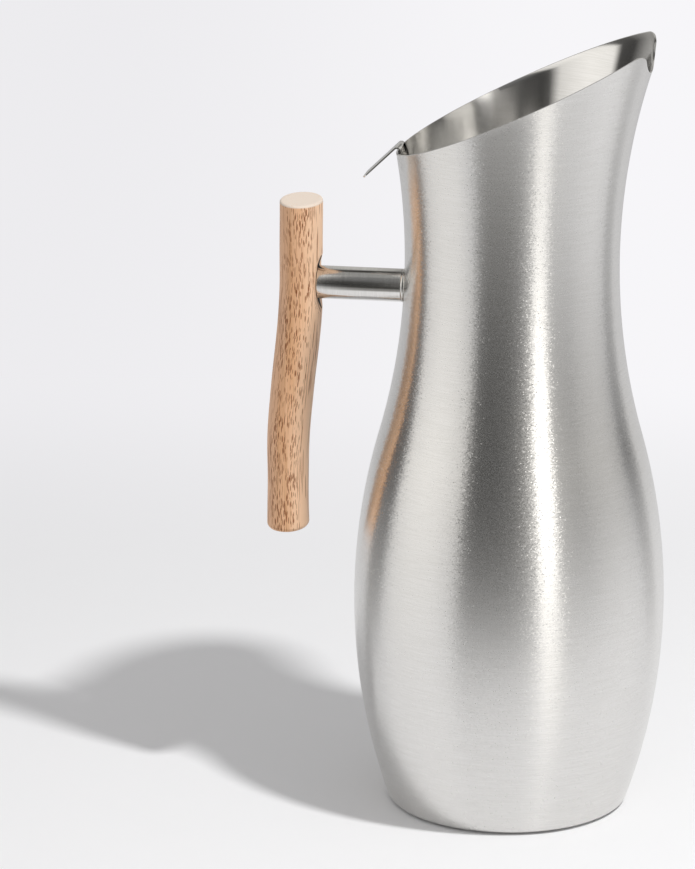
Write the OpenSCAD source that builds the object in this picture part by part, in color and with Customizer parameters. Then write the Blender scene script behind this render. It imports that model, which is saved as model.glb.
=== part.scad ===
// Steel water pitcher with a slanted mouth, a wooden grip on one post and a rocking lid.
// +Z is up, +X points to the pouring lip, and the origin is the middle of the underside.

/* [Body] */
// Outer diameter at the widest part of the belly
belly_d = 120; // [110:1:135]
// Height of the widest part above the table
belly_z = 80.5; // [70:0.5:95]
// Outer diameter at the narrowest part of the neck
waist_d = 81.7; // [74:0.1:92]
// Height of the narrowest part above the table
waist_z = 216.7; // [200:0.1:225]
// Radius of the arc that draws in the waist and flares the neck
waist_arc = 251.9; // [220:0.1:290]
// Thickness of the sheet
wall = 0.8; // [0.6:0.1:1.2]

/* [Mouth] */
// Slope of the mouth, rising from the handle to the lip
mouth_slope = 25; // [18:0.1:28]
// Height at which the plane of the mouth crosses the axis
mouth_z = 278.2; // [268:0.1:288]
// Half the angle that the scooped lip takes up round the mouth
lip_half = 31; // [28:0.5:36]
// Depth of the scoop below the tip that the lip would have without it
scoop_depth = 13.6; // [11:0.1:16]
// Radius of the two corners where the scoop runs into the rim
scoop_corner = 12; // [6:0.5:14]

/* [Base] */
// Height of the metal bottom edge above the table
foot_lift = 0.8; // [0.5:0.1:2]
// Outside radius of the bend between the side and the hem
base_corner = 2; // [1.5:0.1:4]
// Width of the hem turned in under the base plate
hem_w = 4; // [3:0.5:8]
// Thickness of the base plate
base_t = 0.8; // [0.5:0.1:1.5]
// Rise of the pressed panel in the base plate
panel_rise = 2; // [1:0.5:5]
// Width of the flat margin round the panel
panel_margin = 9; // [7:0.5:14]
// Chamfer round the underside of the non-slip pad
pad_chamfer = 0.4; // [0.2:0.1:0.6]

/* [Handle] */
// Height of the tube's axis above the table
tube_z = 204.2; // [190:0.1:214]
// Outer diameter of the tube
tube_d = 12.7; // [10:0.1:14]
// Wall thickness of the tube
tube_wall = 1; // [0.8:0.1:1.5]
// Thickness of the boss between the neck and the tube, on the tube's axis
boss_t = 1; // [0.6:0.1:3]
// Length of the boss's spigot inside the tube
spigot_len = 9; // [6:0.5:14]
// Diameter of the threaded stud
stud_d = 6; // [4:0.5:7]
// Outer diameter of the threaded insert in the wood
insert_d = 8.5; // [8:0.1:9]
// Length of the threaded insert
insert_len = 10; // [6:0.5:11]
// Thickness of the insert's collar
insert_collar = 0.8; // [0.5:0.1:1.5]

/* [Grip] */
// Thickness of the wooden bar, in the plane of the handle
grip_d = 16.3; // [15.5:0.1:20]
// Width of the bar's oval section, across the plane of the handle
grip_w = 23; // [20:0.5:28]
// Distance from the widest part of the belly out to the middle of the bar's upper part
grip_out = 21.4; // [14:0.1:35]
// Height of the bar's top end above the tube's axis
grip_above = 31.8; // [20:0.1:45]
// Length of the straight upper part
grip_head = 30; // [22:0.5:45]
// Radius of the two bends
grip_bend_r = 200; // [150:1:320]
// Angle of each bend
grip_bend = 6; // [3:0.1:10]
// Length of the straight part between the bends
grip_middle = 31; // [20:0.5:45]
// Length of the straight lower part
grip_tail = 27.6; // [20:0.1:45]
// Radius of the curve that eases the edges of the bar's ends
grip_edge = 12; // [11:0.5:20]
// Height of the notch that seats the tube's end, along the bar
notch_h = 23; // [20:0.5:26]
// Depth of the notch's flat seat
seat_depth = 1.7; // [1.4:0.1:2]
// Thickness of the gasket that lines the notch
gasket_t = 0.25; // [0.2:0.05:0.4]
// Length of the gasket along the bar, between the points of its tails
gasket_h = 20.8; // [18:0.1:22]
// Width of the tails where they leave the gasket's ring
gasket_w = 6.9; // [5:0.1:9]
// How far the gasket's ring keeps inside the edge of the tube
gasket_in = 0.5; // [0.3:0.1:0.7]

/* [Lid] */
// Depth of the lid's top below the plane of the mouth, measured upright
lid_drop = 25.3; // [20:0.1:32]
// Thickness of the lid's sheet
lid_t = 0.8; // [0.6:0.1:1.2]
// Depth of the lid's turned-down edge
lid_edge = 4; // [3:0.5:7]
// Gap left for pouring between the lid and the neck below the lip
pour_gap = 14; // [9:0.5:20]
// Diameter of the strainer holes
strain_d = 4; // [2.5:0.5:5]
// Spacing of the strainer holes
strain_pitch = 7.5; // [6:0.5:10]
// Holes in the row next to the pouring gap
strain_count = 7; // [4:1:7]
// Width of the strip that carries the lid
tab_w = 12; // [11.5:0.5:18]
// Thickness of the strip
tab_t = 0.6; // [0.5:0.1:1]
// Length of the flat thumb tab outside the rim
tab_len = 16.9; // [10:0.1:20]
// Angle of the thumb tab below level
tab_angle = 44; // [40:1:55]
// Radius of the thumb tab's corners
tab_corner = 2; // [1:0.5:4]
// Angle of the strip's inner leg below level
leg_angle = 70; // [60:1:76]
// Inside radius of the fold between the inner leg and the foot
fold_r = 1.5; // [1:0.1:3]
// Length of the foot that is riveted to the lid
foot_len = 12; // [9:0.5:16]
// Diameter of the rivets
rivet_d = 3; // [2:0.5:4]
// Diameter of the rivet heads
rivet_head_d = 5; // [4:0.5:5.5]
// Height of the rivet heads
rivet_head_h = 1; // [0.6:0.1:1.5]
// Spacing of the two rivets across the strip
rivet_pitch = 6.5; // [6:0.1:7]

/* [Fits] */
// Gap at the welded and glued faces
weld_gap = 0.05; // [0.02:0.01:0.1]
// Radial clearance of plain and threaded fits
fit_gap = 0.05; // [0.02:0.01:0.15]
// Clearance of the pad inside the hem
pad_gap = 0.2; // [0.1:0.05:0.5]
// Clearance between the lid's edge and the neck
lid_gap = 0.6; // [0.4:0.1:1]
// Clearance between the strip's bend and the rim
rim_gap = 0.3; // [0.25:0.05:0.6]

/* [Hidden] */
$fn = 128;
// Overshoot of cutting shapes
over = 1;
// Steps in a long arc and in a small one
long_steps = 24;
short_steps = 8;
// Corners of the polygon that makes the bar's oval section
oval_steps = 64;
// Where a straight run of a bent piece meets a bend, the thinner one ends this far inside the other
lap = 0.1;
// Step in the surface where a run meets a bend
seam = 0.03;

// Profile of the side: a belly arc and a waist arc that meet on a common tangent
belly_r = belly_d / 2;
waist_r = waist_d / 2;
draw_in = belly_r - waist_r;
shoulder = waist_z - belly_z;
belly_arc = (draw_in ^ 2 + shoulder ^ 2) / (2 * draw_in) - waist_arc;
join_angle = asin(shoulder / (belly_arc + waist_arc));
belly_c = [belly_r - belly_arc, belly_z];
waist_c = [waist_r + waist_arc, waist_z];
corner_z = foot_lift + base_corner;
corner_c = [belly_c.x + sqrt((belly_arc - base_corner) ^ 2 - (corner_z - belly_z) ^ 2), corner_z];
corner_angle = atan2(corner_z - belly_z, corner_c.x - belly_c.x);

// Mouth: tan of the slope, and the points where its plane meets the outside of the neck
slope = tan(mouth_slope);
tip_r = plane_r(0, mouth_z, slope);
tip_z = mouth_z + slope * tip_r;
rim_angle = asin((tip_z + over - waist_z) / waist_arc);
// Reach of cutting blocks, larger than the whole pitcher
block = tip_z + belly_d;

// Lip, seen along X: the point where the scoop's corner leaves the rim, and how steeply the rim falls there
lip_r = plane_r(0, mouth_z, slope * cos(lip_half));
lip = [lip_r * sin(lip_half), mouth_z + slope * lip_r * cos(lip_half)];
lip_flare = (lip.y - waist_z) / (waist_c.x - lip_r);
lip_fall = atan(slope * lip.x / (lip_r * cos(lip_half) - slope * lip_r * lip_flare));
// Scoop: centre of its corner, and the radius and centre of the arc that touches the corner and the bottom
scoop_c = lip - scoop_corner * [sin(lip_fall), cos(lip_fall)];
scoop_low = tip_z - scoop_depth;
scoop_rise = scoop_c.y - scoop_low;
scoop_r = (scoop_c.x ^ 2 + scoop_rise ^ 2 - scoop_corner ^ 2) / (2 * (scoop_corner + scoop_rise));
scoop_z = scoop_low + scoop_r;

// Base: the hem's upper face carries the base plate, and the pad lies inside the hem
hem_z = foot_lift + wall;
hem_r = corner_c.x - hem_w;
base_r = corner_c.x - weld_gap;
panel_r = base_r - panel_margin;
// Shift of the inner corner of a sheet bent by 45 degrees, as a share of its thickness
bend_shift = sqrt(2) - 1;

// Handle: distances along the tube from the pitcher's axis
tube_r = tube_d / 2;
tube_start = side_r(tube_z) + boss_t;
grip_reach = belly_r + grip_out;
grip_r = grip_d / 2;
spigot_r = tube_r - tube_wall - fit_gap;
stud_r = stud_d / 2;
insert_r = insert_d / 2;
// Notch: its flat seat, a little higher than the tube, and the cylinder that cuts its ends
seat_x = grip_reach - grip_r + seat_depth;
seat_half = tube_r + gasket_in / 2;
notch_off = ((notch_h / 2) ^ 2 - seat_half ^ 2 - seat_depth ^ 2) / (2 * seat_depth);
notch_x = grip_reach - grip_r - notch_off;
notch_r = sqrt((notch_h / 2) ^ 2 + notch_off ^ 2);
gasket_r = tube_r - gasket_in;
// Radius of the two arcs that bound the gasket's tails
tail_r = ((gasket_h / 2) ^ 2 + (gasket_w / 2) ^ 2) / gasket_w;
// The tube and the insert's collar end on the gasket
tube_end = seat_x - gasket_t - 2 * weld_gap;
collar_r = tube_r - tube_wall - fit_gap;
insert_end = tube_end + insert_len;
// Size of one bend of the bar, down and outwards
bend_h = grip_bend_r * sin(grip_bend);
bend_x = grip_bend_r * (1 - cos(grip_bend));
grip_height = 2 * bend_h + grip_middle * cos(grip_bend);
grip_shift = 2 * bend_x + grip_middle * sin(grip_bend);
lap_angle = atan(lap / grip_bend_r);

// Lid: the rocking axis lies on the rim, midway between the rim's nearest and farthest points under the strip
rim_r = (plane_r(0, mouth_z, -slope) + plane_r(wall, mouth_z, -slope)) / 2;
rim_bow = rim_r - sqrt(rim_r ^ 2 - (tab_w / 2) ^ 2);
rock_r = rim_r - rim_bow / 2;
rock = [-rock_r, mouth_z - slope * rock_r];
ride_r = (wall + rim_bow) / 2 / cos(mouth_slope) + rim_gap;
lid_z = mouth_z - lid_drop;
lid_end = plane_r(wall + lid_gap, lid_z, slope) / cos(mouth_slope) - pour_gap;
leg_normal = [sin(leg_angle), cos(leg_angle)];
foot_normal = [-sin(mouth_slope), cos(mouth_slope)];
// Centre of the fold, at set distances from the rocking axis and from the lid's top
fold_a = rock * leg_normal + ride_r + tab_t + fold_r;
fold_b = [0, lid_z] * foot_normal + weld_gap + tab_t + fold_r;
fold_det = leg_normal.x * foot_normal.y - leg_normal.y * foot_normal.x;
fold_c = [fold_a * foot_normal.y - fold_b * leg_normal.y, fold_b * leg_normal.x - fold_a * foot_normal.x]
    / fold_det;
leg_len = (fold_c - rock) * [cos(leg_angle), -sin(leg_angle)];
// Distance up the slope from the axis to the start of the foot
foot_start = (fold_c - [0, lid_z]) * [cos(mouth_slope), sin(mouth_slope)];
rivet_x = foot_start + foot_len / 2;
rivet_r = rivet_d / 2;
rivet_head_r = rivet_head_d / 2;
strain_rows = 2;
strain_x = lid_end - 2 * strain_d;

// Points of an arc about a centre, from one angle to another
function arc(centre, r, from, to, steps, first = 0) =
    [for (i = [first:steps])
        let (angle = from + (to - from) * i / steps)
            centre + r * [cos(angle), sin(angle)]];

// A list of points in the other order
function backwards(points) = [for (i = [len(points) - 1:-1:0]) points[i]];

// Outer radius of the upper body at a height
function side_r(z) = waist_c.x - sqrt(waist_arc ^ 2 - (z - waist_z) ^ 2);

// Radius at which the neck, set in by a distance, meets a plane that rises at a rate from the axis
function plane_r(inset, z, rate) =
    let (h = z - waist_z)
    let (b = waist_c.x - rate * h)
    let (c = waist_c.x ^ 2 + h ^ 2 - (waist_arc + inset) ^ 2)
    (b - sqrt(b ^ 2 - (1 + rate ^ 2) * c)) / (1 + rate ^ 2);

// Side of the neck above the waist, set in by a distance
function neck_line(inset) = arc(waist_c, waist_arc + inset, 180, 180 - rim_angle, long_steps);

// Side of the body from the hem to above the lip, set in by a distance
function side_line(inset) = concat(
    arc(corner_c, base_corner - inset, -90, corner_angle, short_steps),
    arc(belly_c, belly_arc - inset, corner_angle, join_angle, long_steps, first = 1),
    arc(waist_c, waist_arc + inset, 180 + join_angle, 180, long_steps / 2, first = 1),
    arc(waist_c, waist_arc + inset, 180, 180 - rim_angle, long_steps, first = 1));

// Solid that fills a line of points from the axis outwards
module turned(line) {
    last = len(line) - 1;
    rotate_extrude()
        polygon(concat([[0, line[0].y]], line, [[0, line[last].y]]));
}

// Frame whose Z runs out along the tube from the pitcher's axis
module along_tube() {
    translate([0, 0, tube_z])
        rotate([0, -90, 0])
            children();
}

// Frame whose X runs up the lid towards the lip and whose Z is square to it
module on_lid() {
    translate([0, 0, lid_z])
        rotate([0, -mouth_slope, 0])
            children();
}

// Cylinder between two heights
module rod(r, from, to) {
    translate([0, 0, from])
        cylinder(r = r, h = to - from);
}

// Everything above the plane of the mouth
module above_mouth() {
    translate([0, 0, mouth_z])
        rotate([0, -mouth_slope, 0])
            translate([-block, -block, 0])
                cube([2 * block, 2 * block, block]);
}

// Scoop with rounded corners, cut through the lip along X
module scoop() {
    meet = atan2(scoop_c.y - scoop_z, scoop_c.x);
    left_c = [-scoop_c.x, scoop_c.y];
    rotate([90, 0, 90])
        linear_extrude(height = block)
            polygon(concat(
                arc([0, scoop_z], scoop_r, -180 - meet, meet, long_steps),
                arc(scoop_c, scoop_corner, 180 + meet, 90 - lip_fall, short_steps, first = 1),
                [[lip.x, tip_z + over], [-lip.x, tip_z + over]],
                backwards(arc(left_c, scoop_corner, -meet, 90 + lip_fall, short_steps, first = 1))));
}

// Body with its hem, slanted mouth and scooped lip
module body_shell() {
    color("#b9b6b1")
        difference() {
            rotate_extrude()
                polygon(concat([[hem_r, hem_z], [hem_r, foot_lift]],
                    side_line(0), backwards(side_line(wall))));
            above_mouth();
            scoop();
        }
}

// Base disc with a raised panel, lying on the hem
module base_plate() {
    top = hem_z + base_t;
    shift = bend_shift * base_t;
    color("#aeaba6")
        rotate_extrude()
            polygon([[0, hem_z + panel_rise], [panel_r - panel_rise, hem_z + panel_rise], [panel_r, hem_z],
                [base_r, hem_z], [base_r, top], [panel_r + shift, top],
                [panel_r + shift - panel_rise, top + panel_rise], [0, top + panel_rise]]);
}

// Non-slip pad inside the hem
module base_pad() {
    pad_r = hem_r - pad_gap;
    color("#1c1c1d")
        turned([[pad_r - pad_chamfer, 0], [pad_r, pad_chamfer], [pad_r, hem_z]]);
}

// Boss cut to the curve of the neck, with a tapped spigot for the tube and stud
module handle_boss() {
    color("#cfcdc9")
        difference() {
            along_tube() {
                rod(tube_r, tube_start - boss_t - tube_r / 2, tube_start);
                rod(spigot_r, tube_start - over / 2, tube_start + spigot_len);
            }
            turned(side_line(-weld_gap));
            along_tube()
                rod(stud_r + fit_gap, tube_start, tube_start + spigot_len + over);
        }
}

// Stud from the boss into the insert
module handle_stud() {
    color("#8d8f92")
        along_tube()
            rod(stud_r, tube_start + fit_gap, insert_end - fit_gap);
}

// Tube clamped between the boss and the gasket in the bar's notch
module handle_tube() {
    color("#d5d3cf")
        along_tube()
            difference() {
                rod(tube_r, tube_start, tube_end);
                rod(tube_r - tube_wall, tube_start - over, tube_end + over);
            }
}

// Threaded insert, with a collar that lies on the gasket inside the tube
module grip_insert() {
    color("#c3a254")
        along_tube()
            difference() {
                union() {
                    rod(insert_r, tube_end - insert_collar, insert_end);
                    rod(collar_r, tube_end - insert_collar, tube_end);
                }
                rod(stud_r + fit_gap, tube_end - insert_collar - over, insert_end + over);
            }
}

// Cutter across the bar for the notch, a cylinder flattened at the seat, set in by a distance
module notch(inset) {
    flat_x = seat_x - inset - notch_x;
    translate([-notch_x, 0, tube_z])
        intersection() {
            rotate([90, 0, 0])
                translate([0, 0, -grip_w])
                    cylinder(r = notch_r - inset, h = 2 * grip_w);
            translate([-flat_x, -2 * grip_w, -2 * notch_r])
                cube([flat_x + 2 * notch_r, 4 * grip_w, 4 * notch_r]);
        }
}

// Rod that runs along the tube through the notch, moved sideways
module through_notch(r, side = 0) {
    along_tube()
        translate([0, side, 0])
            rod(r, tube_end - grip_r, seat_x + over);
}

// Gasket in the notch: a ring under the tube's end, with a pointed tail up and down the bar
module grip_gasket() {
    shift = tail_r - gasket_w / 2;
    color("#2a2522")
        difference() {
            intersection() {
                union() {
                    through_notch(gasket_r);
                    intersection() {
                        through_notch(tail_r, shift);
                        through_notch(tail_r, -shift);
                    }
                }
                notch(weld_gap);
            }
            notch(weld_gap + gasket_t);
            through_notch(insert_r + fit_gap);
        }
}

// Oval section of the bar, set in by a distance
module bar_section(inset) {
    polygon([for (i = [0:oval_steps - 1])
        [(grip_r - inset) * cos(360 * i / oval_steps), (grip_w / 2 - inset) * sin(360 * i / oval_steps)]]);
}

// Straight end of the bar, with its edge eased
module bar_end(length) {
    flat_r = grip_r / 2;
    outer_r = grip_w / 2 + over;
    edge_angle = acos((outer_r - flat_r) / grip_edge);
    intersection() {
        linear_extrude(height = length)
            bar_section(0);
        turned(concat([[outer_r, -over]],
            arc([flat_r, length - grip_edge], grip_edge, edge_angle, 90, short_steps)));
    }
}

// One bend of the bar, about an axis along Y
module bar_bend(start) {
    rotate([90, 0, 0])
        rotate_extrude(angle = grip_bend + 2 * lap_angle, start = start - lap_angle)
            translate([grip_bend_r, 0])
                bar_section(seam);
}

// The bar: a straight head, middle and tail, with two opposite bends between them
module bar() {
    translate([-grip_reach, 0, tube_z + grip_above - grip_head]) {
        bar_end(grip_head);
        translate([-grip_bend_r, 0, 0])
            bar_bend(-grip_bend);
        translate([-bend_x, 0, -bend_h])
            rotate([0, 180 + grip_bend, 0])
                linear_extrude(height = grip_middle)
                    bar_section(0);
        translate([grip_bend_r - grip_shift, 0, -grip_height])
            bar_bend(180 - grip_bend);
        translate([-grip_shift, 0, -grip_height])
            mirror([0, 0, 1])
                bar_end(grip_tail);
    }
}

// Wooden bar with the notch for the tube's end and the hole for the insert
module handle_grip() {
    color("#c99f7c")
        difference() {
            bar();
            notch(0);
            along_tube()
                rod(insert_r + fit_gap, tube_end, insert_end + fit_gap);
        }
}

// Slice of the neck's inside parallel to the mouth, stopped short of the lip
module neck_slice(inset, bottom, top, end) {
    intersection() {
        turned(neck_line(inset));
        on_lid()
            translate([-block, -block, bottom])
                cube([block + end, 2 * block, top - bottom]);
    }
}

// Holes for the rivets, square to the lid
module rivet_places() {
    on_lid()
        for (side = [-1, 1])
            translate([rivet_x, side * rivet_pitch / 2, 0])
                children();
}

// Lid pan with a turned-down edge and a strainer beside the pouring gap
module lid_plate() {
    color("#b4b2ae")
        difference() {
            neck_slice(wall + lid_gap, -lid_edge, 0, lid_end);
            neck_slice(wall + lid_gap + lid_t, -lid_edge - over, -lid_t, lid_end - lid_t);
            rivet_places()
                rod(rivet_r + fit_gap, -lid_edge, over);
            on_lid()
                for (row = [0:strain_rows - 1])
                    for (i = [0:strain_count - 1 - row])
                        translate([strain_x - row * strain_pitch,
                            (i - (strain_count - 1 - row) / 2) * strain_pitch, 0])
                            rod(strain_d / 2, -lid_edge, over);
        }
}

// Flat run of the strip from a point, heading up by an angle, with its thickness to the left
module strip_run(start, heading) {
    translate([start.x, 0, start.y])
        rotate([0, -heading, 0])
            translate([-lap, 0, 0])
                linear_extrude(height = tab_t)
                    children();
}

// Bend of the strip about an axis along Y
module strip_bend(centre, r, from, to) {
    translate([centre.x, 0, centre.y])
        rotate([90, 0, 0])
            rotate_extrude(angle = to - from, start = from)
                translate([r - seam, -tab_w / 2 - seam])
                    square([tab_t + 2 * seam, tab_w + 2 * seam]);
}

// Strip: thumb tab, bend over the rim, inner leg, fold and riveted foot
module lid_tab() {
    tab_normal = [-sin(tab_angle), cos(tab_angle)];
    half = tab_w / 2;
    round_x = tab_len + lap - tab_corner;
    round_y = half - tab_corner;
    color("#bcbab6")
        difference() {
            union() {
                strip_run(rock + (ride_r + tab_t) * tab_normal, 180 + tab_angle)
                    polygon(concat([[0, half], [0, -half]],
                        arc([round_x, -round_y], tab_corner, -90, 0, short_steps),
                        arc([round_x, round_y], tab_corner, 0, 90, short_steps)));
                strip_bend(rock, ride_r, 90 - leg_angle, 90 + tab_angle);
                strip_run(rock + ride_r * leg_normal, -leg_angle)
                    translate([0, -half])
                        square([leg_len + 2 * lap, tab_w]);
                strip_bend(fold_c, fold_r, 270 - leg_angle, 270 + mouth_slope);
                strip_run(fold_c - (fold_r + tab_t) * foot_normal, mouth_slope)
                    translate([0, -half])
                        square([foot_len + lap, tab_w]);
            }
            rivet_places()
                rod(rivet_r + fit_gap, -over, tab_t + over);
        }
}

// Two rivets through the foot and the lid
module lid_rivets() {
    foot_top = weld_gap + tab_t;
    head_round = (rivet_head_r ^ 2 + rivet_head_h ^ 2) / (2 * rivet_head_h);
    head_angle = asin(rivet_head_r / head_round);
    color("#a5a3a0")
        rivet_places()
            turned(concat(
                [[rivet_head_r, -lid_t - rivet_head_h / 2], [rivet_head_r, -lid_t], [rivet_r, -lid_t],
                    [rivet_r, foot_top]],
                arc([0, foot_top + rivet_head_h - head_round], head_round, 90 - head_angle, 90,
                    short_steps)));
}

body_shell();
base_plate();
base_pad();
handle_boss();
handle_stud();
handle_tube();
grip_insert();
grip_gasket();
handle_grip();
lid_plate();
lid_tab();
lid_rivets();
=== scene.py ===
"""Steel water pitcher with a wooden grip and a rocking lid: the looks of its pieces, the studio, the camera.

All lengths are in metres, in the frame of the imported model: +Z up, +X to the pouring lip, the handle on -X.
"""

from __future__ import annotations

import logging
import math
from collections.abc import Callable, Iterator
from contextlib import contextmanager
from dataclasses import dataclass, field
from enum import Enum

import bmesh
import bpy
from mathutils import Matrix, Vector


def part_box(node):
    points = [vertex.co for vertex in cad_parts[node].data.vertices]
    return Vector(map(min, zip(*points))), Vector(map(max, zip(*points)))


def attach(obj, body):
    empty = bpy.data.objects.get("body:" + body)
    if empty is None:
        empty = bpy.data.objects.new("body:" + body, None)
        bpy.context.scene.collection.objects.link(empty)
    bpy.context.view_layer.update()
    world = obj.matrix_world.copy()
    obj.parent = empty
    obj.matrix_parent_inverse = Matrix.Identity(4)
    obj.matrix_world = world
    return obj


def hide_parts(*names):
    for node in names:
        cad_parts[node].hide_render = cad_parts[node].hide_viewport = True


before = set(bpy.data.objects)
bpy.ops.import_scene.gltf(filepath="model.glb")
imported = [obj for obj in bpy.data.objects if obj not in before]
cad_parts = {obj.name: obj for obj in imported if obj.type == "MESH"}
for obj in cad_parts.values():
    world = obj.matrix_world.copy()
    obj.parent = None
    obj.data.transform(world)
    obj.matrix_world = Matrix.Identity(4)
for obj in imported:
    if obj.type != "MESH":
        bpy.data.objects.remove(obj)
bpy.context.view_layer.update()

MM = 0.001
NEAR = 1e-6  # Places closer than this are one place.
MEAN = 0.5  # Mean of a noise and of a random value.
LOG = logging.getLogger("pitcher")

Point = tuple[float, float]
Triple = tuple[float, float, float]
Colour = Triple
Step = tuple[float, float, float, float]
Sockets = dict[str | int, object]
Piece = bpy.types.Object


class Body(Enum):
    """The bodies that pieces ride on."""

    PITCHER = "pitcher"
    LID = "lid"


class Pick(Enum):
    """What an edit-mode selection holds."""

    POINTS = "VERT"
    EDGES = "EDGE"
    FACES = "FACE"


class Maths(Enum):
    """Operations of the Math and Vector Math nodes, by the words used here."""

    ADD = "ADD"
    SUBTRACT = "SUBTRACT"
    MULTIPLY = "MULTIPLY"
    DIVIDE = "DIVIDE"
    ANGLE = "ARCTAN2"
    MORE = "GREATER_THAN"
    DOT = "DOT_PRODUCT"
    CROSS = "CROSS_PRODUCT"
    LENGTH = "LENGTH"
    UNIT = "NORMALIZE"


class Ray(Enum):
    """What a ray of light is followed for."""

    SEEN = "Is Camera Ray"
    SOFT = "Is Diffuse Ray"
    MIRRORED = "Is Glossy Ray"


# Shader nodes


def operator(operation: Maths, swapped: bool = False) -> Callable[[Wire, object], Wire]:
    """One of the operators of a wire.

    Args:
        operation: what its Math node does.
        swapped: whether the other value comes first.

    Returns:
        The method.
    """
    def method(wire: Wire, other: object) -> Wire:
        """Adds the Math node."""
        first, second = (other, wire) if swapped else (wire, other)
        return wire.graph.node("ShaderNodeMath", {"operation": operation.value}, {0: first, 1: second})

    return method


class Wire:
    """An output socket that adds Math nodes when it stands in an expression."""

    def __init__(self, graph: Graph, out: bpy.types.NodeSocket | None) -> None:
        """Keeps the graph and the socket."""
        self.graph = graph
        self.out = out

    __add__ = operator(Maths.ADD)
    __radd__ = operator(Maths.ADD, swapped=True)
    __sub__ = operator(Maths.SUBTRACT)
    __rsub__ = operator(Maths.SUBTRACT, swapped=True)
    __mul__ = operator(Maths.MULTIPLY)
    __rmul__ = operator(Maths.MULTIPLY, swapped=True)
    __truediv__ = operator(Maths.DIVIDE)
    __gt__ = operator(Maths.MORE)
    turned_to = operator(Maths.ANGLE)

    def ramp(self, low: float, high: float, start: float = 0.0, end: float = 1.0) -> Wire:
        """Smooth step.

        Args:
            low: value at which the step starts.
            high: value at which it ends.
            start: result below low.
            end: result above high.

        Returns:
            The stepped value.
        """
        return self.graph.node("ShaderNodeMapRange", {"interpolation_type": "SMOOTHSTEP"},
                               {0: self, 1: low, 2: high, 3: start, 4: end})


class Graph:
    """A node tree that is filled from code."""

    def __init__(self, tree: bpy.types.NodeTree) -> None:
        """Empties the tree."""
        self.tree = tree
        tree.nodes.clear()

    def node(self, kind: str, settings: dict[str, object] | None = None, links: Sockets | None = None,
             out: str | int = 0) -> Wire:
        """Adds any node.

        Args:
            kind: the node's type.
            settings: its properties, set first; stops are a ramp's places and colours.
            links: values or wires for its inputs, by name or number.
            out: the output that is returned, by name or number.

        Returns:
            The chosen output.
        """
        made = self.tree.nodes.new(kind)
        for name, value in (settings or {}).items():
            if name == "stops":
                self._stops(made.color_ramp, value)
            else:
                setattr(made, name, value)
        for name, value in (links or {}).items():
            if isinstance(value, Wire):
                self.tree.links.new(value.out, made.inputs[name])
            else:
                made.inputs[name].default_value = value
        return Wire(self, made.outputs[out] if len(made.outputs) else None)

    @staticmethod
    def _stops(ramp: bpy.types.ColorRamp, stops: list[tuple[float, Colour]]) -> None:
        """Sets a ramp's places and colours."""
        while len(ramp.elements) < len(stops):
            ramp.elements.new(1.0)
        for element, (place, colour) in zip(ramp.elements, stops):
            element.position = place
            element.color = (*colour, 1.0)

    @staticmethod
    def _paint(colour: Wire | Colour) -> object:
        """Gives a plain colour its alpha."""
        return colour if isinstance(colour, Wire) else (*colour, 1.0)

    def place(self) -> Wire:
        """Place on the piece, in its own coordinates."""
        return self.node("ShaderNodeTexCoord", out="Object")

    def facing(self) -> Wire:
        """Way that the surface faces, before any bump."""
        return self.node("ShaderNodeNewGeometry", out="Normal")

    def ray(self, ray: Ray) -> Wire:
        """1 for one kind of ray, else 0."""
        return self.node("ShaderNodeLightPath", out=ray.value)

    def parts(self, vector: Wire) -> tuple[Wire, ...]:
        """X, Y and Z of a vector."""
        split = self.node("ShaderNodeSeparateXYZ", links={0: vector}).out.node
        return tuple(Wire(self, out) for out in split.outputs)

    def vector(self, operation: Maths, first: object, second: object = (0.0, 0.0, 0.0),
               out: str | int = 0) -> Wire:
        """Vector Math on one or two vectors."""
        return self.node("ShaderNodeVectorMath", {"operation": operation.value}, {0: first, 1: second}, out)

    def dot(self, first: Wire, second: object) -> Wire:
        """Dot product of two vectors."""
        return self.vector(Maths.DOT, first, second, "Value")

    def counted(self, vector: Wire, cell: Triple | float) -> Wire:
        """A vector counted in cells, of one size or with a size along each axis."""
        sizes = cell if isinstance(cell, tuple) else (cell,) * 3
        return self.vector(Maths.MULTIPLY, vector, tuple(1 / size for size in sizes))

    def noise(self, vector: Wire, cell: Triple | float, detail: float = 2.0, rough: float = 0.5) -> Wire:
        """Cloudy noise from 0 to 1, with cells of a size."""
        return self.node("ShaderNodeTexNoise", links={"Vector": self.counted(vector, cell), "Scale": 1.0,
                                                      "Detail": detail, "Roughness": rough})

    def cells(self, vector: Wire, cell: Triple) -> tuple[Wire, ...]:
        """Distance to the middle of the nearest cell, in cells, and its three random values from 0 to 1."""
        links = {"Vector": self.counted(vector, cell), "Scale": 1.0, "Randomness": 1.0}
        near = self.node("ShaderNodeTexVoronoi", links=links)
        return near, *self.parts(Wire(self, near.out.node.outputs["Color"]))

    def mix(self, share: object, first: object, second: object, blend: str = "MIX") -> Wire:
        """Colour between two colours, or another blend of them; the node's colours are its last sockets."""
        return self.node("ShaderNodeMix", {"data_type": "RGBA", "blend_type": blend},
                         {0: share, 6: self._paint(first), 7: self._paint(second)}, 2)

    def bump(self, height: Wire, depth: float) -> Wire:
        """Normal tilted by a height of 0 to 1 times a depth."""
        return self.node("ShaderNodeBump", links={"Strength": 1.0, "Distance": depth, "Height": height})

    def glow(self, colour: object, strength: float = 1.0) -> Wire:
        """A shader that gives light."""
        return self.node("ShaderNodeEmission", links={"Color": self._paint(colour), "Strength": strength})

    def layer(self, share: Wire, under: Wire, over: Wire) -> Wire:
        """A shader with a share of another one over it."""
        return self.node("ShaderNodeMixShader", links={0: share, 1: under, 2: over})


# Finishes


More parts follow.
